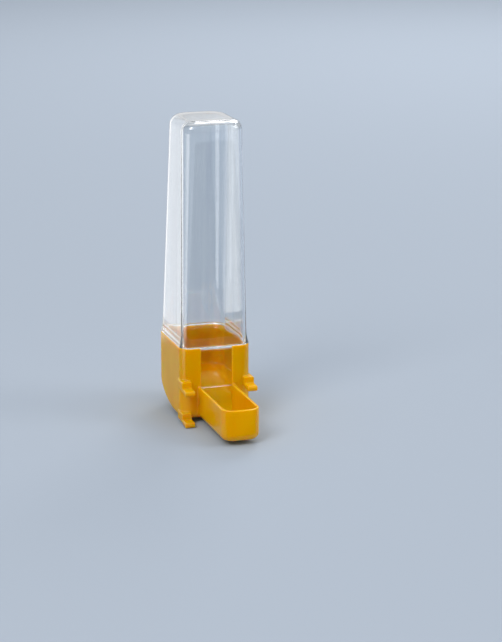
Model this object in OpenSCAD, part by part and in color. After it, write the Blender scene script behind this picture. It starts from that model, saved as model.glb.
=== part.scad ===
// Bird drinker: a clear siphon reservoir that stands in a moulded base.
// The base is a cup with a drinking trough and four stepped hooks that it hangs by.
// The origin is on the cup's flat front, midway between its left and right hooks and
// level with its underside. +Z is up, the cup lies towards +Y and the trough points to -Y.

/* [Cup] */
// Width of the cup, from side to side
cup_w = 30.2; // [28:0.1:36]
// Depth of the cup, front to back
cup_d = 38.6; // [34:0.1:46]
// Height of the cup's rim above its underside
cup_h = 29.8; // [26:0.1:36]
// Radius of the cup's two front corners, seen from above
cup_front_r = 4.5; // [4:0.1:6]
// Radius of the cup's two back corners, seen from above
cup_back_r = 8; // [6:0.1:11]
// Radius of the edges along the front and sides of the cup's underside
cup_edge_r = 1.6; // [1.4:0.1:3]
// How far forward the underside's sweep up to the back wall starts
heel_run = 24; // [14:0.5:28]
// Height at which that sweep meets the back wall
heel_rise = 10; // [6:0.1:14]
// Thickness of the base's walls and floor
base_wall = 1.2; // [0.9:0.05:1.8]
// Radius of the outer edge of the cup's rim and the trough's rim
rim_r = 0.5; // [0.2:0.05:0.7]

/* [Trough] */
// Outside width of the trough
trough_w = 15.9; // [13:0.1:17]
// How far the trough stands out in front of the cup
trough_reach = 36.2; // [25:0.1:45]
// Height of the trough's rim above the underside
trough_h = 13.3; // [10.5:0.1:16]
// Radius of the trough's two front corners, seen from above
trough_corner_r = 5; // [3:0.1:6]
// Radius of the edges along the sides of the trough's underside
trough_edge_r = 2.5; // [1.9:0.1:4]
// Radius of the edge along the front of the trough's underside
trough_toe_r = 3.4; // [2.5:0.1:5]

/* [Hooks] */
// Width of each hook, from side to side
hook_w = 4.2; // [3:0.1:5]
// How far each hook's tongue reaches in front of the cup
hook_reach = 7.3; // [5:0.1:9]
// Thickness of the tongue
tongue_t = 2.3; // [1.6:0.1:3]
// How far the step above the tongue stands out in front of the cup
step_reach = 2.4; // [1.5:0.1:3.5]
// Height of the step above the tongue
step_h = 2.5; // [1.5:0.1:4]
// How far each hook's root runs back along the cup's side
root_back = 4.8; // [4:0.1:7]
// How far each hook stands proud of the cup's side
hook_proud = 0.5; // [0.3:0.1:1]
// Radius of the corners in each hook's side view
hook_corner_r = 0.4; // [0.2:0.05:0.6]
// Height of the top of the upper tongues above the underside
hook_upper_z = 13.9; // [12:0.1:16]
// Height of the top of the lower tongues above the underside
hook_lower_z = 0.5; // [0.3:0.1:1.2]

/* [Reservoir] */
// Height of the reservoir above the cup's rim
tube_h = 94; // [70:0.5:130]
// Width of the reservoir at its closed top
tube_top_w = 25.8; // [22:0.1:28]
// Depth of the reservoir at its closed top
tube_top_d = 30.4; // [26:0.1:35]
// Radius of the edge round the closed top
tube_edge_r = 3; // [2:0.1:3.6]
// Thickness of the reservoir's wall
tube_wall = 1.2; // [0.9:0.05:1.6]
// How far the skirt at the rim flares out
flare_out = 1; // [0.5:0.05:1.4]
// Height of the flared skirt
flare_h = 6.5; // [4:0.1:10]
// Gap between the spigot and the inside of the cup, on each side
spigot_gap = 0.2; // [0.1:0.05:0.4]
// How far the spigot's mouth hangs below the trough's rim, which sets the water level
spigot_dip = 1; // [0.5:0.1:3]
// Radius of the two edges of the spigot's mouth
mouth_r = 0.25; // [0.1:0.05:0.25]
// Radius of the skirt's lower edge, where it meets the cup's rim
lip_r = 0.3; // [0.1:0.05:0.5]

/* [Hidden] */

base_colour = "#e0a400";
clear_colour = [0.86, 0.90, 0.93, 0.45];
arc_steps = 12;
edge_steps = 8;
flare_steps = 6;
fillet_steps = 3;
cut_over = 1;
least_r = 0.4;
least_wall = 0.6;

spigot_z = trough_h - spigot_dip;
tube_top = cup_h + tube_h;
// The spigot's wall leaves a bore that runs straight up into the tube, so that the mould's core draws out.
spigot_wall = max(flare_out + tube_wall - base_wall - spigot_gap, least_wall);

// A section is [half width, front y, back y, front corner radius, back corner radius].
function inset(s, d) =
    [s[0] - d, s[1] + d, s[2] - d, max(s[3] - d, least_r), max(s[4] - d, least_r)];
function between(a, b, t) = a + (b - a) * t;

cup_section = [cup_w / 2, 0, cup_d, cup_front_r, cup_back_r];
trough_section = [trough_w / 2, -trough_reach, cup_d / 2, trough_corner_r, trough_corner_r];
tube_foot = inset(cup_section, flare_out);
tube_head = [tube_top_w / 2, flare_out, flare_out + tube_top_d, cup_front_r, cup_back_r];
spigot_section = inset(cup_section, base_wall + spigot_gap);

// One quarter turn of a corner, starting at angle a.
function corner(x, y, r, a) =
    [for (i = [0 : arc_steps]) [x + r * cos(a + 90 * i / arc_steps), y + r * sin(a + 90 * i / arc_steps)]];

// The closed outline of a section at height z, anticlockwise from above.
function ring(s, z) = [
    for (p = concat(
        corner(s[0] - s[4], s[2] - s[4], s[4], 0),
        corner(s[4] - s[0], s[2] - s[4], s[4], 90),
        corner(s[3] - s[0], s[1] + s[3], s[3], 180),
        corner(s[0] - s[3], s[1] + s[3], s[3], 270)
    )) [p[0], p[1], z]
];

// A closed solid through a list of rings.
module loft(rings) {
    n = len(rings[0]);
    last = len(rings) - 1;
    sides = [
        for (i = [0 : last - 1], j = [0 : n - 1])
            let (a = i * n + j, b = i * n + (j + 1) % n)
                each [[a, a + n, b + n], [a, b + n, b]]
    ];
    foot = [for (j = [0 : n - 1]) j];
    head = [for (j = [n - 1 : -1 : 0]) last * n + j];
    polyhedron([for (r = rings) each r], concat([foot], sides, [head]));
}

// How far an elliptic edge draws in at height h above its floor.
function draw_in(run, rise, h) = h >= rise ? 0 : run * (1 - sqrt(1 - pow(1 - h / rise, 2)));

// Angles of a quarter turn in n steps.
function quarter(n) = [for (i = [0 : n]) 90 * i / n];

// An upright tub whose floor turns up by its own curve at the front, sides and back.
// Each curve is [run, rise], levels are the heights above the floor where a ring is laid, and rim is
// the radius of the top's outer edge.
module tub(s, z0, z1, front, side, back, levels, rim) {
    edge = [
        for (h = levels)
            let (d = draw_in(side[0], side[1], h))
                ring(
                    [
                        s[0] - d,
                        s[1] + draw_in(front[0], front[1], h),
                        s[2] - draw_in(back[0], back[1], h),
                        max(s[3] - d, least_r),
                        max(s[4] - d, least_r)
                    ],
                    z0 + h
                )
    ];
    top = rim > 0
        ? [for (a = quarter(fillet_steps)) ring(inset(s, rim * (1 - cos(a))), z1 - rim * (1 - sin(a)))]
        : [ring(s, z1)];
    loft(concat(edge, top));
}

// Heights of the rings round a turned-up edge, from its floor to its rise.
function turn_up(rise) = [for (a = quarter(edge_steps)) rise * (1 - cos(a))];

// A round edge of radius r, drawn d inside its outer face.
function round_edge(r, d) = let (least = max(r - d, least_r)) [least, least];

// The outside of the cup for d = 0, and its inside for d = the wall. The outside has a rounded rim.
module cup_form(d, z1, rim = 0) {
    edge = round_edge(cup_edge_r, d);
    heel = [heel_run - d, heel_rise - d];
    low = turn_up(edge[1]);
    high = [for (h = turn_up(heel[1])) if (h > edge[1]) h];
    tub(inset(cup_section, d), d, z1, edge, edge, heel, concat(low, high), rim);
}

// The outside of the trough for d = 0, and its inside for d = the wall. The outside has a rounded rim.
module trough_form(d, z1, rim = 0) {
    toe = round_edge(trough_toe_r, d);
    edge = round_edge(trough_edge_r, d);
    tub(inset(trough_section, d), d, z1, toe, edge, edge, turn_up(max(toe[1], edge[1])), rim);
}

// The side view of a hook: x runs forward from the cup's front, and the tongue's top is at y = 0.
// Its convex corners, and the corner where the tongue meets the step, share one radius.
module hook_outline() {
    nose = tongue_t / 2;
    r = hook_corner_r;
    offset(r = -r, $fn = 24) offset(r = 2 * r, $fn = 24) offset(delta = -r)
        union() {
            polygon([
                [-root_back, step_h],
                [step_reach, step_h],
                [step_reach, 0],
                [hook_reach - nose, 0],
                [hook_reach - nose, -tongue_t],
                [-root_back, -hook_lower_z]
            ]);
            translate([hook_reach - nose, -nose]) circle(r = nose, $fn = 32);
        }
}

// One hook on the side given by -1 or 1, with its tongue's top at height z.
module hook(side, z) {
    outer = cup_w / 2 + hook_proud;
    translate([side > 0 ? outer - hook_w : -outer, 0, z])
        rotate([90, 0, 90])
            linear_extrude(hook_w)
                mirror([1, 0]) hook_outline();
}

module base() {
    slot_w = trough_w - 2 * base_wall;
    color(base_colour)
        difference() {
            union() {
                cup_form(0, cup_h, rim_r);
                trough_form(0, trough_h, rim_r);
                for (side = [-1, 1], z = [hook_lower_z, hook_upper_z])
                    hook(side, z);
            }
            cup_form(base_wall, cup_h + cut_over);
            trough_form(base_wall, trough_h + cut_over);
            translate([-slot_w / 2, -cut_over, trough_h])
                cube([slot_w, base_wall + 2 * cut_over, cup_h]);
        }
}

// Sections of the flared skirt's outside, from its lip up to the tube.
function skirt() = [
    for (i = [1 : flare_steps])
        let (t = i / flare_steps)
            ring(between(tube_foot, cup_section, pow(1 - t, 2)), cup_h + flare_h * t)
];

// Sections of the closed top's rounded edge, d inside the outer face.
function crown(d) = [
    for (a = quarter(edge_steps))
        let (r = tube_edge_r - d)
            ring(inset(tube_head, d + r * (1 - cos(a))), tube_top - tube_edge_r + r * sin(a))
];

// Sections round the spigot's mouth, from its inner face under to its outer face.
function mouth() = concat(
    [
        for (a = quarter(fillet_steps))
            let (d = spigot_wall - mouth_r * (1 - cos(a)))
                ring(inset(spigot_section, d), spigot_z + mouth_r * (1 - sin(a)))
    ],
    [
        for (a = quarter(fillet_steps))
            ring(inset(spigot_section, mouth_r * (1 - sin(a))), spigot_z + mouth_r * (1 - cos(a)))
    ]
);

// Sections of the skirt's rounded lower edge, from the shoulder that rests on the cup's rim.
function lip() = [
    for (a = quarter(fillet_steps))
        ring(inset(cup_section, lip_r * (1 - sin(a))), cup_h + lip_r * (1 - cos(a)))
];

function reversed(list) = [for (i = [len(list) - 1 : -1 : 0]) list[i]];

module reservoir() {
    bore = ring(inset(spigot_section, spigot_wall), cup_h);
    throat = ring(inset(tube_foot, tube_wall), cup_h + flare_h);
    inside = concat([bore, throat], crown(tube_wall));
    outside = concat([ring(spigot_section, cup_h)], lip(), skirt(), crown(0));
    color(clear_colour)
        loft(concat(reversed(inside), mouth(), outside));
}

base();
reservoir();
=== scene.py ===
# %% [markdown]
# A bird drinker has only two pieces: a clear bottle that stands upside down, and an amber base that
# catches the water and hangs by four hooks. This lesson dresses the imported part. It loads the part as
# a fixed frame, models both pieces again as smooth mouldings, and lights them in a studio.

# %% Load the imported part
import math
import bpy
import numpy as np
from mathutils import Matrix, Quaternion, Vector


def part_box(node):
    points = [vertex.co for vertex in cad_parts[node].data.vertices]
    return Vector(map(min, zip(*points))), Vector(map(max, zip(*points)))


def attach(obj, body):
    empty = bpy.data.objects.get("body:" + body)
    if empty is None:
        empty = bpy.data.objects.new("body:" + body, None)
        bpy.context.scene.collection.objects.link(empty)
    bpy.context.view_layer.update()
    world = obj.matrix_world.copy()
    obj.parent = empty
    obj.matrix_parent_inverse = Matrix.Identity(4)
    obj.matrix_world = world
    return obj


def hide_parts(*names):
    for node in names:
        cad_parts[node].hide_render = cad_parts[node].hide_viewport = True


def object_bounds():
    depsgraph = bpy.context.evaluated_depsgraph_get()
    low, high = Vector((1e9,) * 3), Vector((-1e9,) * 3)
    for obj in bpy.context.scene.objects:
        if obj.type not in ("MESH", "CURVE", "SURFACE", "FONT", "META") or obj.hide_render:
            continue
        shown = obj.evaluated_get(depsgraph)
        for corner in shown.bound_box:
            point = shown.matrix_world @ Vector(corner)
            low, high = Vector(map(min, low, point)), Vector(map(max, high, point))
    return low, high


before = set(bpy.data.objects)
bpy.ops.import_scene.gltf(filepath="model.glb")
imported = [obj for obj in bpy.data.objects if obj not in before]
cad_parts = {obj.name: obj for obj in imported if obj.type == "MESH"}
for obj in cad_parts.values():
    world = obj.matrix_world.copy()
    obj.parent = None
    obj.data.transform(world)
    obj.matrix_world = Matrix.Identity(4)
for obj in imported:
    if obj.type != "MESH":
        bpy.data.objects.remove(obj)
cad_low, cad_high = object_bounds()
scene = bpy.context.scene
scene.view_settings.view_transform = "Standard"
MM = 0.001

# %% [markdown]
# The camera comes first, because every later choice is judged through it. The drinker is seen from
# the front, a little from the left and from above, with a long lens. A long lens keeps the tall
# bottle's sides nearly parallel, so no lens shift is needed. The camera's place is in metres.

# %% Place the camera
CAMERA_PLACE = Vector((-0.2464, -0.8032, 0.2651))
CAMERA_TURN = math.radians(18.02)
CAMERA_DIP = math.radians(14.93)
CAMERA_ROLL = math.radians(0.12)
FRAME_HEIGHT = 642
FOCAL_PIXELS = 2111
SENSOR = 36.0

camera_data = bpy.data.cameras.new("camera")
camera_data.sensor_width = SENSOR
camera_data.lens = SENSOR * FOCAL_PIXELS / FRAME_HEIGHT
camera = bpy.data.objects.new("camera", camera_data)
scene.collection.objects.link(camera)
ahead = math.cos(CAMERA_DIP)
gaze = Vector((math.sin(CAMERA_TURN) * ahead, math.cos(CAMERA_TURN) * ahead, -math.sin(CAMERA_DIP)))
camera.location = CAMERA_PLACE
camera.rotation_mode = "QUATERNION"
camera.rotation_quaternion = gaze.to_track_quat("-Z", "Y") @ Quaternion((0, 0, 1), CAMERA_ROLL)
scene.camera = camera
print("lens:", round(camera_data.lens, 1), "mm")

# %% [markdown]
# Both mouldings share one plan: a rectangle with tight front corners and wide back corners. A plan is
# kept as five numbers: half its width, its front, its back and the two corner radii. Sizes are in
# millimetres, as on a drawing, and become metres when a mesh is made. The outer sizes are read from
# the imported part, to a hundredth of a millimetre, so that the dressed pieces fill the same box.

# %% Plans of the two mouldings
WALL = 1.2
HOOK_PROUD = 0.5
CUP_CORNERS = (4.5, 8.0)
TROUGH_HALF = 7.95
TROUGH_CORNER = 5.0
TROUGH_HEIGHT = 13.3
LEAST_RADIUS = 0.4

base_low, base_high = (np.array(corner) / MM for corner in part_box("base"))
trough_front = base_low.round(2)[1]
hook_side, cup_back, CUP_HEIGHT = base_high.round(2)
CUP = np.array([hook_side - HOOK_PROUD, 0.0, cup_back, *CUP_CORNERS])
TROUGH = np.array([TROUGH_HALF, trough_front, cup_back / 2, TROUGH_CORNER, TROUGH_CORNER])


def inset(plan, gap):
    """The plan drawn in by a gap on every side."""
    half, front, back, front_r, back_r = plan
    radii = np.maximum([front_r - gap, back_r - gap], LEAST_RADIUS)
    return np.array([half - gap, front + gap, back - gap, *radii])


print("outside of the cup:", CUP, "and its inside:", inset(CUP, WALL))

# %% [markdown]
# The bottle is a loft: one plan after another, stacked along a path that starts at the middle of the
# ceiling inside, runs down the inner wall, rounds the mouth and climbs the outer wall to the crown. It
# could be a subdivided box as well, but a loft gives clean strips of quads, and the direction that each
# point faces is known exactly. Clear plastic shows every ripple in its normals.

# %% Points round a plan
CORNER_STEPS = 14
FLAT_STEPS = 8


def plan_points(plan):
    """Points round a plan, anticlockwise from above, and the way that each one faces."""
    half, front, back, front_r, back_r = plan
    corners = [
        (half - back_r, back - back_r, back_r, 0),
        (back_r - half, back - back_r, back_r, 90),
        (front_r - half, front + front_r, front_r, 180),
        (half - front_r, front + front_r, front_r, 270),
    ]
    points = []
    facing = []
    for number, (x, y, radius, start) in enumerate(corners):
        angles = np.radians(start + np.linspace(0, 90, CORNER_STEPS + 1))
        round_it = np.stack([np.cos(angles), np.sin(angles)], 1)
        points.extend(np.array([x, y]) + radius * round_it)
        facing.extend(round_it)
        next_x, next_y, next_radius, _ = corners[(number + 1) % 4]
        last = points[-1]
        goal = np.array([next_x, next_y]) + next_radius * round_it[-1]
        for share in np.linspace(0, 1, FLAT_STEPS + 1)[1:-1]:
            points.append(last + (goal - last) * share)
            facing.append(round_it[-1])
    return np.array(points), np.array(facing)


print("points round one plan:", len(plan_points(CUP)[0]))

# %% [markdown]
# The bottle has a skirt that flares out to meet the cup's rim, a long taper, a crown with a rounded
# edge, and a spigot that hangs inside the cup. The spigot's mouth sits a little below the trough's rim,
# and so sets the water level. The bore is straight, so that a mould's core draws out. The bottle sits a
# hair above the cup's rim, so that the two meshes never share a face.

# %% The bottle's sizes
CROWN_RADIUS = 4.2
HEAD_HALF = 12.9
HEAD_DEPTH = 30.4
HEAD_CORNERS = (6.0, 9.2)
FLARE_OUT = 1.0
FLARE_HEIGHT = 6.5
SPIGOT_GAP = 0.2
SEAT_GAP = 0.05

bottle_low, bottle_high = (np.array(corner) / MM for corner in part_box("reservoir"))
SPIGOT_FOOT = bottle_low.round(2)[2]
BOTTLE_TOP = bottle_high.round(2)[2]
SEAT = CUP_HEIGHT + SEAT_GAP
WAIST = CUP_HEIGHT + FLARE_HEIGHT
BOTTLE_FOOT = inset(CUP, FLARE_OUT)
BOTTLE_HEAD = np.array([HEAD_HALF, FLARE_OUT, FLARE_OUT + HEAD_DEPTH, *HEAD_CORNERS])
BORE = inset(BOTTLE_FOOT, WALL)
SPIGOT = inset(CUP, WALL + SPIGOT_GAP)
SPIGOT_WALL = SPIGOT[0] - BORE[0]
print("bottle from", SPIGOT_FOOT, "to", BOTTLE_TOP, "mm, with a spigot's wall of", round(SPIGOT_WALL, 2))

# %% [markdown]
# Each stretch of the path is a list of levels, and a level is a plan at a height. The crown's edge is a
# quarter turn in small steps, and the taper is a straight blend of two plans. Both are needed twice: for
# the outer face, and again one wall further in.

# %% Levels of the crown and the taper
CROWN_STEPS = 10
CAP_SHARES = (0.25, 0.5, 0.75, 0.97)
TAPER_STEPS = 14


def quarter(steps):
    """Sines and cosines of a quarter turn."""
    turn = np.linspace(0, math.pi / 2, steps + 1)
    return list(zip(np.sin(turn), np.cos(turn)))


def crown_levels(gap):
    """The rounded edge of the closed top, gap inside the outer face, then the top itself."""
    radius = CROWN_RADIUS - gap
    centre = BOTTLE_TOP - CROWN_RADIUS
    levels = []
    for s, c in quarter(CROWN_STEPS):
        levels.append((inset(BOTTLE_HEAD, gap + radius * (1 - c)), centre + radius * s))
    plan, height = levels[-1]
    middle_y = (plan[1] + plan[2]) / 2
    middle = np.array([0, middle_y, middle_y, 0, 0])
    return levels + [(plan + (middle - plan) * share, height) for share in CAP_SHARES]


def taper_levels(gap):
    """The long taper from the skirt to the crown, gap inside the outer face."""
    crown_foot = BOTTLE_TOP - CROWN_RADIUS
    levels = []
    for share in np.linspace(0, 1, TAPER_STEPS + 1)[:-1]:
        plan = BOTTLE_FOOT + (BOTTLE_HEAD - BOTTLE_FOOT) * share
        levels.append((inset(plan, gap), WAIST + (crown_foot - WAIST) * share))
    return levels


print("levels of the crown and the taper:", len(crown_levels(0)), "and", len(taper_levels(0)))

# %% [markdown]
# The skirt is flush with the cup at its lip and curves in to the taper. Straight sides would leave a hard
# line there, so the flare follows a square, which runs out smoothly. The lip and the spigot's mouth get
# small radii, as every moulded edge has.

# %% Levels of the skirt and the mouth
EDGE_STEPS = 4
FLARE_STEPS = 14
LIP_RADIUS = 0.3
MOUTH_RADIUS = 0.35


def skirt_levels():
    """The skirt's outside, from its rounded lip up to the taper."""
    levels = []
    for s, c in quarter(EDGE_STEPS):
        levels.append((inset(CUP, LIP_RADIUS * (1 - s)), SEAT + LIP_RADIUS * (1 - c)))
    for share in np.linspace(0, 1, FLARE_STEPS + 1)[1:-1]:
        plan = BOTTLE_FOOT + (CUP - BOTTLE_FOOT) * (1 - share) ** 2
        levels.append((plan, CUP_HEIGHT + FLARE_HEIGHT * share))
    return levels


def mouth_levels():
    """The spigot's rounded mouth, from the bore under to the outer face."""
    turn = quarter(EDGE_STEPS)
    inner = [(SPIGOT_WALL - MOUTH_RADIUS * (1 - c), MOUTH_RADIUS * (1 - s)) for s, c in turn]
    outer = [(MOUTH_RADIUS * (1 - s), MOUTH_RADIUS * (1 - c)) for s, c in turn]
    return [(inset(SPIGOT, gap), SPIGOT_FOOT + rise) for gap, rise in inner + outer]


print("levels of the skirt and the mouth:", len(skirt_levels()), "and", len(mouth_levels()))

# %% [markdown]
# The stretches are now strung together. The shoulder is the flat ring that rests on the cup's rim. Two
# levels close to each corner of the shoulder keep its normals from smearing into its neighbours.

# %% The bottle's path, from the ceiling inside to the crown outside
BORE_STEPS = 12
SPIGOT_STEPS = 8
END_GAP = 1.0
FAIR = 0.05

bore = [(BORE, height) for height in np.linspace(SPIGOT_FOOT + END_GAP, WAIST - END_GAP, BORE_STEPS)]
inside = bore + taper_levels(WALL) + crown_levels(WALL)
spigot = [(SPIGOT, height) for height in np.linspace(SPIGOT_FOOT + END_GAP, SEAT - FAIR, SPIGOT_STEPS)]
shoulder = [(inset(SPIGOT, -FAIR), SEAT), (inset(CUP, LIP_RADIUS + FAIR), SEAT)]
outside = skirt_levels() + taper_levels(0) + crown_levels(0)
bottle_path = inside[::-1] + mouth_levels() + spigot + shoulder + outside
print("levels along the bottle's path:", len(bottle_path))

# %% [markdown]
# The loft joins each level to the next with a strip of quads, and closes the two ends. The direction
# round the plan crossed with the direction along the path is the way that a point faces. It is handed
# to Blender as a custom normal of unit length.

# %% Loft the bottle
def make_piece(name, points, faces, normals):
    """A smooth mesh object from points in millimetres and the direction that each one faces."""
    mesh = bpy.data.meshes.new(name)
    mesh.from_pydata((np.asarray(points) * MM).tolist(), [], faces)
    mesh.shade_smooth()
    mesh.normals_split_custom_set_from_vertices(np.asarray(normals).tolist())
    piece = bpy.data.objects.new(name, mesh)
    scene.collection.objects.link(piece)
    print(name, "has", len(mesh.vertices), "points and", len(mesh.polygons), "faces")
    return piece


def loft(levels):
    """Points, faces and normals of a closed skin through plans at their heights."""
    rows = []
    ways = []
    for plan, height in levels:
        points, facing = plan_points(plan)
        rows.append(np.column_stack([points, np.full(len(points), height)]))
        ways.append(np.column_stack([-facing[:, 1], facing[:, 0], np.zeros(len(facing))]))
    rows = np.array(rows)
    strides = np.linalg.norm(np.diff(rows, axis=0), axis=2).mean(axis=1)
    along = np.gradient(rows, np.append(0, np.cumsum(strides)), axis=0)
    normals = np.cross(np.array(ways), along)
    normals[0] = (0, 0, -1)
    normals[-1] = (0, 0, 1)
    normals /= np.linalg.norm(normals, axis=2, keepdims=True)
    count = rows.shape[1]
    last = len(levels) - 1
    turn = [(j, (j + 1) % count) for j in range(count)]
    faces = [
        (i * count + a, i * count + b, (i + 1) * count + b, (i + 1) * count + a)
        for i in range(last) for a, b in turn
    ]
    faces.append(tuple(range(count))[::-1])
    faces.append(tuple(last * count + j for j in range(count)))
    return rows.reshape(-1, 3), faces, normals.reshape(-1, 3)


bottle = make_piece("reservoir_bottle", *loft(bottle_path))
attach(bottle, "reservoir")
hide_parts("reservoir")

# %% [markdown]
# The base is one moulding with a cup, a trough and four hooks that run into each other. Boolean tools
# would join them with knife edges, and a real mould has a small radius on every edge. So the base is
# written as a field instead: a function that is negative inside the plastic and positive outside.
# Fields join with a chosen radius, by the two little functions below.

# %% Joining fields with a radius
def round_max(a, b, radius):
    """What is inside both fields, with the edge between them rounded."""
    corner = np.hypot(np.maximum(a + radius, 0), np.maximum(b + radius, 0))
    return np.minimum(np.maximum(a, b), -radius) + corner


def round_min(a, b, radius):
    """What is inside either field, with the crease between them filled."""
    return -round_max(-a, -b, radius)


print("edge of two faces, rounded by 0.5:", round(float(round_max(0.0, 0.0, 0.5)), 3))

# %% [markdown]
# The cup and the trough are tubs: a plan that is closed by a floor. The cup's floor sweeps up to the
# back wall in a quarter of an ellipse, the heel, and it follows the wide back corners round. The same
# field with a gap of one wall gives the inside.

# %% The cup and the trough as fields
CUP_EDGE = 1.6
HEEL_RUN = 24.0
HEEL_RISE = 10.0
HEEL_EDGE = 1.4
TROUGH_EDGE = 2.5
TROUGH_TOE = 3.4
TINY = 1e-6


def plan_field(x, y, plan):
    """How far a point lies outside a plan, seen from above."""
    half, front, back, front_r, back_r = plan
    radius = np.where(y < (front + back) / 2, front_r, back_r)
    side = np.abs(x) - half
    end = np.abs(y - (front + back) / 2) - (back - front) / 2
    return round_max(side, end, radius)


def cup_field(x, y, z, gap):
    """The cup's outside, or its inside where gap is the wall."""
    plan = inset(CUP, gap)
    tub = round_max(plan_field(x, y, plan), gap - z, max(CUP_EDGE - gap, LEAST_RADIUS))
    run = HEEL_RUN - gap
    rise = HEEL_RISE - gap
    past_corner = np.clip(np.abs(x) - (plan[0] - plan[4]), 0, plan[4])
    set_back = plan[4] - np.sqrt(plan[4] ** 2 - past_corner ** 2)
    behind = np.maximum(y + set_back - (plan[2] - run), TINY)
    below = np.maximum(gap + rise - z, TINY)
    ratio = np.hypot(behind / run, below / rise)
    heel = ratio * (ratio - 1) / np.hypot(behind / run ** 2, below / rise ** 2)
    sweep = np.clip(2 * behind / run, 0, 1) * np.clip(2 * below / rise, 0, 1)
    return round_max(tub, heel, HEEL_EDGE * sweep ** 2 * (3 - 2 * sweep))


def trough_field(x, y, z, gap):
    """The trough's outside, or its inside where gap is the wall."""
    plan = inset(TROUGH, gap)
    near_toe = np.clip((TROUGH[1] + TROUGH[3] - y) / TROUGH[3], 0, 1)
    edge = TROUGH_EDGE + (TROUGH_TOE - TROUGH_EDGE) * near_toe ** 2 - gap
    return round_max(plan_field(x, y, plan), gap - z, edge)


print("cup's wall at mid height:", round(float(cup_field(CUP[0], CUP[2] / 2, CUP_HEIGHT / 2, 0)), 3))

# %% [markdown]
# Each hook is a stepped tongue: what carries the base lies behind the tongue's step, and the tongue
# keeps the base from swinging. Its side view is a field in two directions, and its width closes it.

# %% The hooks as a field
HOOK_WIDTH = 4.2
HOOK_REACH = 7.3
TONGUE = 2.3
STEP_REACH = 2.4
STEP_HEIGHT = 2.5
ROOT_BACK = 4.8
ROOT_DROP = 0.5
HOOK_TOPS = (0.5, 13.9)
HOOK_EDGE = 0.45
NOSE = 1.05


def hook_field(x, y, z, top):
    """The pair of hooks whose tongues have their top at one height."""
    up = z - top
    fall = (TONGUE - ROOT_DROP) / (HOOK_REACH - TONGUE / 2 + ROOT_BACK)
    under = -TONGUE + fall * (y + HOOK_REACH - TONGUE / 2)
    tongue = round_max(np.maximum(up, (under - up) / math.hypot(1, fall)), -y - HOOK_REACH, NOSE)
    step = np.maximum(np.maximum(up - STEP_HEIGHT, -y - STEP_REACH), -up - TONGUE / 2)
    side_view = np.maximum(round_min(tongue, step, HOOK_EDGE), y - ROOT_BACK)
    middle = CUP[0] + HOOK_PROUD - HOOK_WIDTH / 2
    return round_max(side_view, np.abs(np.abs(x) - middle) - HOOK_WIDTH / 2, HOOK_EDGE)


print("tops of the tongues, in mm:", HOOK_TOPS)

# %% [markdown]
# Now the base is put together as a mould maker would: the solid outsides are joined, and the hollow of
# the cup and the trough is taken out of them. Where the two hollows meet, the slot opens by itself.

# %% The whole base as one field
RIM_RADIUS = 0.45
CREASE_RADIUS = 0.8


def base_field(x, y, z):
    """Negative inside the amber plastic."""
    cup = round_max(cup_field(x, y, z, 0), z - CUP_HEIGHT, RIM_RADIUS)
    trough = round_max(trough_field(x, y, z, 0), z - TROUGH_HEIGHT, RIM_RADIUS)
    solid = np.maximum(round_min(cup, trough, CREASE_RADIUS), -z)
    for top in HOOK_TOPS:
        solid = round_min(solid, hook_field(x, y, z, top), HOOK_EDGE)
    hollow = round_min(cup_field(x, y, z, WALL), trough_field(x, y, z, WALL), RIM_RADIUS)
    hollow = np.maximum(hollow, WALL - z)
    return round_max(solid, -hollow, RIM_RADIUS)


print("middle of the trough's floor:", round(float(base_field(0.0, trough_front / 2, WALL / 2)), 2))

# %% [markdown]
# A mesh is drawn on the field's zero level by a surface net. The field is read on a fine grid, each
# grid cell that the surface crosses gets one point, and each grid edge that it crosses gets one quad.
# Remeshing a rough model could do this too, but it would soften the small radii.

# %% Surface net
CELL = 0.3
MARGIN = 3 * CELL
CELLS_ROUND_EDGE = ((0, 0), (-1, 0), (-1, -1), (0, -1))


def crossed_edges(values, axis):
    """Grid edges along an axis that the surface crosses: start, crossing, and whether they lead out."""
    last = values.shape[axis] - 1
    first = np.take(values, range(last), axis)
    second = np.take(values, range(1, last + 1), axis)
    crossed = (first < 0) != (second < 0)
    start = np.argwhere(crossed)
    where = start.astype(float)
    where[:, axis] += first[crossed] / (first[crossed] - second[crossed])
    return start, where, first[crossed] < 0


def cells_round(start, axis, shape):
    """Numbers of the four cells that share each grid edge, in order round it."""
    numbers = []
    for step_b, step_c in CELLS_ROUND_EDGE:
        cell = start.copy()
        cell[:, (axis + 1) % 3] += step_b
        cell[:, (axis + 2) % 3] += step_c
        numbers.append(np.ravel_multi_index(cell.T, shape))
    return numbers


def surface_net(field, low, high):
    """Points and quads on the zero level of a field inside a box."""
    axes = [np.arange(a - MARGIN, b + MARGIN, CELL) for a, b in zip(low, high)]
    values = field(axes[0][:, None, None], axes[1][None, :, None], axes[2][None, None, :])
    total = np.zeros((values.size, 3))
    count = np.zeros(values.size)
    quads = []
    for axis in range(3):
        start, where, outward = crossed_edges(values, axis)
        numbers = cells_round(start, axis, values.shape)
        for number in numbers:
            count += np.bincount(number, minlength=values.size)
            for k in range(3):
                total[:, k] += np.bincount(number, where[:, k], minlength=values.size)
        quad = np.stack(numbers, 1)
        quads.append(np.where(outward[:, None], quad, quad[:, ::-1]))
    used = np.flatnonzero(count)
    order = np.zeros(values.size, int)
    order[used] = np.arange(len(used))
    origin = np.array([a[0] for a in axes])
    return origin + CELL * total[used] / count[used][:, None], order[np.concatenate(quads)]


net_points, net_quads = surface_net(base_field, base_low, base_high)
print("surface net:", len(net_points), "points and", len(net_quads), "quads")

# %% [markdown]
# The net's points lie near the surface. They slide along the field's slope until they lie on it, and
# the slope itself is the exact normal.

# %% Settle the net on the field
def slope(field, points, reach=0.01):
    """The field's steepest direction at each point."""
    steps = np.eye(3) * reach
    return np.stack([(field(*(points + s).T) - field(*(points - s).T)) / (2 * reach) for s in steps], 1)


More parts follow.
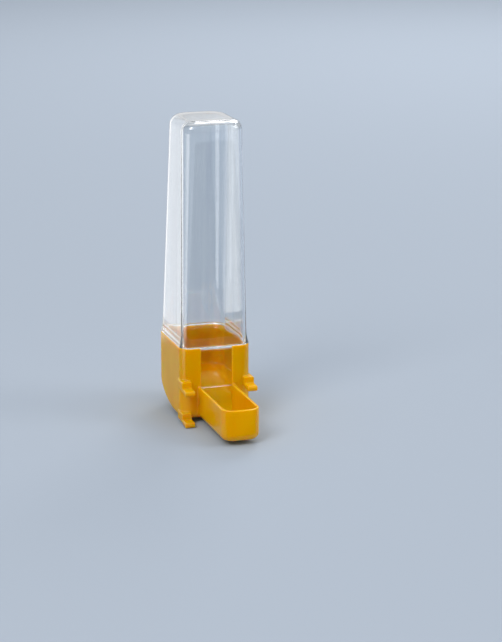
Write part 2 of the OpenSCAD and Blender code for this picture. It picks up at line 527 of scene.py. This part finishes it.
def facing(field, points):
    """The way that the surface faces at each point, as unit vectors."""
    rise = slope(field, points)
    return rise / np.linalg.norm(rise, axis=1, keepdims=True)


def settle(field, points, rounds=6, least=0.04):
    """Points slid along the slope on to the zero level."""
    for _ in range(rounds):
        rise = slope(field, points)
        share = field(*points.T) / np.maximum((rise ** 2).sum(1), least)
        points = points - np.clip(share, -CELL, CELL)[:, None] * rise
    return points


net_points = settle(base_field, net_points)
print("furthest point off the surface, in mm:", abs(base_field(*net_points.T)).max())

# %% [markdown]
# A grid spends as many faces on a flat wall as on a rounded rim. Blender's Decimate modifier thins the
# flat walls and keeps the rims. The points that stay are settled on the field once more, and the
# field gives their normals.

# %% Thin the net and make the base
KEPT_SHARE = 0.3

draft = make_piece("base_draft", net_points, net_quads.tolist(), facing(base_field, net_points))
thin = draft.modifiers.new("thin", "DECIMATE")
thin.ratio = KEPT_SHARE
thin_mesh = bpy.data.meshes.new_from_object(draft.evaluated_get(bpy.context.evaluated_depsgraph_get()))
kept_points = np.empty(len(thin_mesh.vertices) * 3)
thin_mesh.vertices.foreach_get("co", kept_points)
kept_points = settle(base_field, kept_points.reshape(-1, 3) / MM)
kept_faces = [tuple(face.vertices) for face in thin_mesh.polygons]
bpy.data.objects.remove(draft)
base = make_piece("base_moulding", kept_points, kept_faces, facing(base_field, kept_points))
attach(base, "base")
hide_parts("base")

# %% [markdown]
# Both finishes are moulded plastic, whose colour, polish and surface are never quite even. Image
# textures could show that, but noise in the object's own metres has no seams and needs no unwrapping.
# These helpers add noise to a material and lead it to a colour, to a range of values or to a relief.

# %% Helpers for the finishes
NOISE_LOW = 0.3
NOISE_HIGH = 0.7


def new_material(name):
    """A node material, its node tree and its shader."""
    material = bpy.data.materials.new(name)
    material.use_nodes = True
    return material, material.node_tree, material.node_tree.nodes["Principled BSDF"]


def noise(tree, scale, detail, stretch=(1, 1, 1)):
    """A noise texture in the object's own metres, stretched along its axes."""
    place = tree.nodes.new("ShaderNodeTexCoord")
    mapping = tree.nodes.new("ShaderNodeMapping")
    mapping.inputs["Scale"].default_value = stretch
    texture = tree.nodes.new("ShaderNodeTexNoise")
    texture.inputs["Scale"].default_value = scale
    texture.inputs["Detail"].default_value = detail
    tree.links.new(place.outputs["Object"], mapping.inputs["Vector"])
    tree.links.new(mapping.outputs["Vector"], texture.inputs["Vector"])
    return texture.outputs["Fac"]


def ramp(tree, source, stops):
    """A colour ramp between stops of (position, colour)."""
    node = tree.nodes.new("ShaderNodeValToRGB")
    for element, (position, colour) in zip(node.color_ramp.elements, stops):
        element.position = position
        element.color = (*colour, 1)
    tree.links.new(source, node.inputs["Fac"])
    return node.outputs["Color"]


def span(tree, source, from_low, from_high, to_low, to_high):
    """One range of values taken to another."""
    node = tree.nodes.new("ShaderNodeMapRange")
    node.inputs["From Min"].default_value = from_low
    node.inputs["From Max"].default_value = from_high
    node.inputs["To Min"].default_value = to_low
    node.inputs["To Max"].default_value = to_high
    tree.links.new(source, node.inputs["Value"])
    return node.outputs["Result"]


def bump(tree, source, shader, depth):
    """Noise as a relief of that depth in metres."""
    node = tree.nodes.new("ShaderNodeBump")
    node.inputs["Distance"].default_value = depth
    tree.links.new(source, node.inputs["Height"])
    tree.links.new(node.outputs["Normal"], shader.inputs["Normal"])
    return node


print("noise runs from about", NOISE_LOW, "to", NOISE_HIGH)

# %% [markdown]
# The amber plastic is dyed and a little cloudy, so light soaks in, spreads and comes out a deeper
# orange where walls face each other. Subsurface scattering does that, and red spreads furthest. A slow
# noise varies the dye and the polish, and a faint grain stands for the mould's finish.

# %% Amber plastic
AMBER_DYES = [(NOISE_LOW, (0.76, 0.405, 0.0)), (NOISE_HIGH, (0.85, 0.47, 0.001))]
AMBER_ROUGHNESS = (0.12, 0.22)
AMBER_GRAIN = 0.00003
AMBER_SPREAD = (1.0, 0.3, 0.01)
AMBER_DEPTH = 0.003

amber, tree, shader = new_material("amber_plastic")
dye = noise(tree, scale=90, detail=2, stretch=(1, 1, 0.35))
tree.links.new(ramp(tree, dye, AMBER_DYES), shader.inputs["Base Color"])
polish = noise(tree, scale=160, detail=3)
roughness = span(tree, polish, NOISE_LOW, NOISE_HIGH, *AMBER_ROUGHNESS)
tree.links.new(roughness, shader.inputs["Roughness"])
bump(tree, noise(tree, scale=300, detail=2, stretch=(1, 1, 0.2)), shader, AMBER_GRAIN)
shader.inputs["Subsurface Weight"].default_value = 1.0
shader.inputs["Subsurface Radius"].default_value = AMBER_SPREAD
shader.inputs["Subsurface Scale"].default_value = AMBER_DEPTH
shader.inputs["IOR"].default_value = 1.5
shader.inputs["Specular IOR Level"].default_value = 0.3
base.data.materials.append(amber)
print("amber plastic has", len(tree.nodes), "nodes")

# %% [markdown]
# The bottle is clear, like glass but lighter. It is tinted only a little, so most of what it shows is
# the light round it. Long faint ripples along its height, left by the mould, turn the reflections of
# the studio into streaks. The level top has hardly any, so they fade where a face isn't upright. Its
# faint tint also runs in thin upright streaks, paler and darker. These are painted streaks of light and
# shade that stand in for light bent by a wavy wall.

# %% Clear plastic
# A faint blue tint of the plastic's own, spread into painted streaks of light and shade.
TINTS_WITH_PAINTED_STREAKS = [(0.35, (0.91, 0.935, 0.96)), (0.65, (0.99, 1.0, 1.0))]
CLEAR_ROUGHNESS = (0.01, 0.04)
RIPPLE_DEPTH = 0.00006
RIPPLE_ON_CROWN = 0.06
UPRIGHT_TILT = 0.2
CROWN_TILT = 0.7

clear, tree, shader = new_material("clear_plastic")
polish = noise(tree, scale=220, detail=2)
roughness = span(tree, polish, NOISE_LOW, NOISE_HIGH, *CLEAR_ROUGHNESS)
tree.links.new(roughness, shader.inputs["Roughness"])
ripple = bump(tree, noise(tree, scale=150, detail=1, stretch=(1, 1, 0.03)), shader, RIPPLE_DEPTH)
surface = tree.nodes.new("ShaderNodeNewGeometry")
ways = tree.nodes.new("ShaderNodeSeparateXYZ")
tilt = tree.nodes.new("ShaderNodeMath")
tilt.operation = "ABSOLUTE"
tree.links.new(surface.outputs["Normal"], ways.inputs["Vector"])
tree.links.new(ways.outputs["Z"], tilt.inputs[0])
upright = span(tree, tilt.outputs["Value"], UPRIGHT_TILT, CROWN_TILT, 1.0, RIPPLE_ON_CROWN)
tree.links.new(upright, ripple.inputs["Strength"])
# Thin upright streaks in the tint: painted streaks of light and shade that stand in for light bent by a
# wavy wall.
painted_streak = noise(tree, scale=350, detail=2, stretch=(1, 1, 0.02))
tree.links.new(ramp(tree, painted_streak, TINTS_WITH_PAINTED_STREAKS), shader.inputs["Base Color"])
shader.inputs["Transmission Weight"].default_value = 1.0
shader.inputs["IOR"].default_value = 1.57
bottle.data.materials.append(clear)
print("clear plastic has", len(tree.nodes), "nodes")

# %% [markdown]
# Lamp light that bends on its way through the bottle is slow to trace and comes out speckled. So the
# rays that only ask whether a lamp is hidden go straight through, and lose some light. Light that runs
# along inside a clear wall is mirrored many times before it leaves, so many bounces are allowed.

# %% Light through the bottle
SHADOW_TINT = (0.72, 0.73, 0.74, 1)
WALL_BOUNCES = 64
SEE_THROUGH_BOUNCES = 24


def choose(tree, question, usual, other):
    """A surface that is the usual shader, or the other one where the light path says so."""
    path = tree.nodes.new("ShaderNodeLightPath")
    either = tree.nodes.new("ShaderNodeMixShader")
    tree.links.new(path.outputs[question], either.inputs["Fac"])
    tree.links.new(usual.outputs["BSDF"], either.inputs[1])
    tree.links.new(other.outputs["BSDF"], either.inputs[2])
    tree.links.new(either.outputs["Shader"], tree.nodes["Material Output"].inputs["Surface"])


lamp_light = tree.nodes.new("ShaderNodeBsdfTransparent")
lamp_light.inputs["Color"].default_value = SHADOW_TINT
choose(tree, "Is Shadow Ray", shader, lamp_light)
scene.cycles.max_bounces = WALL_BOUNCES
scene.cycles.glossy_bounces = WALL_BOUNCES
scene.cycles.transmission_bounces = WALL_BOUNCES
scene.cycles.transparent_max_bounces = SEE_THROUGH_BOUNCES
print("bounces inside the wall:", scene.cycles.max_bounces)

# %% [markdown]
# The studio stands in metres. Its floor is one wide pale sheet just under the lowest hooks, matt so
# that it shows the drinker's shadow and no reflection.

# %% Floor
FLOOR_HALF = 8.0
FLOOR_GAP = 0.0001
FLOOR_LEVEL = cad_low.z - FLOOR_GAP
FLOOR_COLOUR = (0.43, 0.48, 0.55)


def sheet(name, low, high, height, colour):
    """A level sheet for the studio, between two corners."""
    mesh = bpy.data.meshes.new(name)
    corners = [(low[0], low[1]), (high[0], low[1]), (high[0], high[1]), (low[0], high[1])]
    mesh.from_pydata([(x, y, height) for x, y in corners], [], [(0, 1, 2, 3)])
    piece = bpy.data.objects.new(name, mesh)
    scene.collection.objects.link(piece)
    material, _, shader = new_material(name)
    shader.inputs["Base Color"].default_value = (*colour, 1)
    shader.inputs["Roughness"].default_value = 1.0
    shader.inputs["Specular IOR Level"].default_value = 0.0
    mesh.materials.append(material)
    return piece


sheet("floor", (-FLOOR_HALF, -FLOOR_HALF), (FLOOR_HALF, FLOOR_HALF), FLOOR_LEVEL, FLOOR_COLOUR)
print("floor at", round(FLOOR_LEVEL / MM, 2), "mm")

# %% [markdown]
# A studio for glossy plastic is full of cards, because gloss shows whatever it mirrors. A black card
# in front keeps pale glare off the amber, and grey and pale ones behind shade the bottle's sides. They
# must not show by themselves, nor through the bottle. So they are clear to light until it has been
# mirrored once: the light path's glossy depth counts that.

# %% Cards on the floor
CARD_GAP = 0.0005
CARD_LEVEL = FLOOR_LEVEL + CARD_GAP
BLACK = (0.01, 0.01, 0.01)
GREY = (0.36, 0.35, 0.33)
PALE = (0.49, 0.53, 0.56)
FLOOR_CARDS = {
    "front_card": ((-0.15, -0.9), (0.45, -0.04), BLACK),
    "rear_card": ((-0.12, 0.0), (-0.017, 0.128), GREY),
    "left_pale_card": ((-0.12, 0.128), (-0.017, 0.3), PALE),
    "right_pale_card": ((-0.017, 0.07), (0.04, 0.3), PALE),
}


def only_in_reflections(card):
    """Hides a card from all light that hasn't been mirrored on its way."""
    card.visible_camera = False
    card.visible_diffuse = False
    card.visible_shadow = False
    tree = card.active_material.node_tree
    unseen = tree.nodes.new("ShaderNodeBsdfTransparent")
    choose(tree, "Glossy Depth", unseen, tree.nodes["Principled BSDF"])


for name, (low, high, colour) in FLOOR_CARDS.items():
    only_in_reflections(sheet(name, low, high, CARD_LEVEL, colour))
print("cards on the floor:", list(FLOOR_CARDS))

# %% [markdown]
# White cards stand round the drinker and draw the bottle's light edges. The side card lights its side
# walls, the corner card draws streaks along the upright corners, and the other two light the crown.
# Lamps could do this, but they would show through the bottle. A card that glows can be hidden there.

# %% White cards
WHITE = (1, 1, 1, 1)


def white_card(name, centre, size, faces, glow):
    """A standing card that glows, and that only reflections see."""
    half = Vector(size) / 2
    card = sheet(name, -half, half, 0, BLACK)
    card.location = centre
    card.rotation_mode = "QUATERNION"
    card.rotation_quaternion = Vector(faces).to_track_quat("-Z", "Y")
    material = card.active_material
    shader = material.node_tree.nodes["Principled BSDF"]
    shader.inputs["Emission Color"].default_value = WHITE
    shader.inputs["Emission Strength"].default_value = glow
    material.cycles.emission_sampling = "NONE"
    only_in_reflections(card)
    print(name, "glows at", glow)


white_card("side_card", (-0.055, 0.14, 0.06), (0.11, 0.13), faces=(0.27, -0.94, 0.2), glow=1.2)
white_card("corner_card", (-0.09, -0.018, 0.055), (0.05, 0.12), faces=(1.0, 0.25, 0.0), glow=2.5)
white_card("edge_card", (-0.07, 0.33, 0.2), (0.17, 0.17), faces=(0.2, -0.96, -0.2), glow=1.1)
white_card("crown_card", (0.09, 0.33, 0.21), (0.22, 0.14), faces=(-0.27, -0.94, -0.2), glow=0.75)

# %% [markdown]
# Soft light comes from a large key lamp at the left, a weaker fill at the right and one from behind
# that lights the edges. A broad overhead light, a sun with a very wide disc, stands for the ceiling.

# %% Lamps
TARGET = Vector((0.0, 0.01, 0.05))
TOP_STRENGTH = 0.82
TOP_WIDTH = math.radians(70)


def softbox(name, place, size, watts):
    """A soft rectangular lamp that faces the drinker and that the camera doesn't see."""
    data = bpy.data.lights.new(name, "AREA")
    data.shape = "RECTANGLE"
    data.size, data.size_y = size
    data.energy = watts
    lamp = bpy.data.objects.new(name, data)
    lamp.location = place
    lamp.rotation_mode = "QUATERNION"
    lamp.rotation_quaternion = (TARGET - lamp.location).to_track_quat("-Z", "Y")
    lamp.visible_camera = False
    scene.collection.objects.link(lamp)
    return lamp


key = softbox("key_softbox", place=(-1.35, -1.1, 1.6), size=(1.0, 1.0), watts=22)
top = bpy.data.objects.new("top_light", bpy.data.lights.new("top_light", "SUN"))
top.data.energy = TOP_STRENGTH
top.data.angle = TOP_WIDTH
scene.collection.objects.link(top)
fill = softbox("fill_softbox", place=(1.5, -0.65, 1.0), size=(0.8, 1.0), watts=8)
back = softbox("back_softbox", place=(0.75, 1.2, 1.0), size=(0.7, 0.7), watts=8)
print("lamps:", [lamp.name for lamp in (key, top, fill, back)])

# %% [markdown]
# A pale blue sky fills what the lamps leave. It is brighter where the camera sees it, directly or
# through the bottle, than where it lights the plastic or is mirrored in it, so the amber keeps its depth.

# %% Sky
SKY_COLOUR = (0.8, 0.86, 0.93, 1)
SKY_LIGHT = 0.4
SKY_SEEN = 0.58

sky = bpy.data.worlds.new("sky")
sky.use_nodes = True
tree = sky.node_tree
background = tree.nodes["Background"]
background.inputs["Color"].default_value = SKY_COLOUR
path = tree.nodes.new("ShaderNodeLightPath")
seen = tree.nodes.new("ShaderNodeMath")
seen.operation = "ADD"
tree.links.new(path.outputs["Is Camera Ray"], seen.inputs[0])
tree.links.new(path.outputs["Is Transmission Ray"], seen.inputs[1])
strength = span(tree, seen.outputs["Value"], 0, 1, SKY_LIGHT, SKY_SEEN)
tree.links.new(strength, background.inputs["Strength"])
scene.world = sky
print("sky's strength, as light and as seen:", SKY_LIGHT, SKY_SEEN)
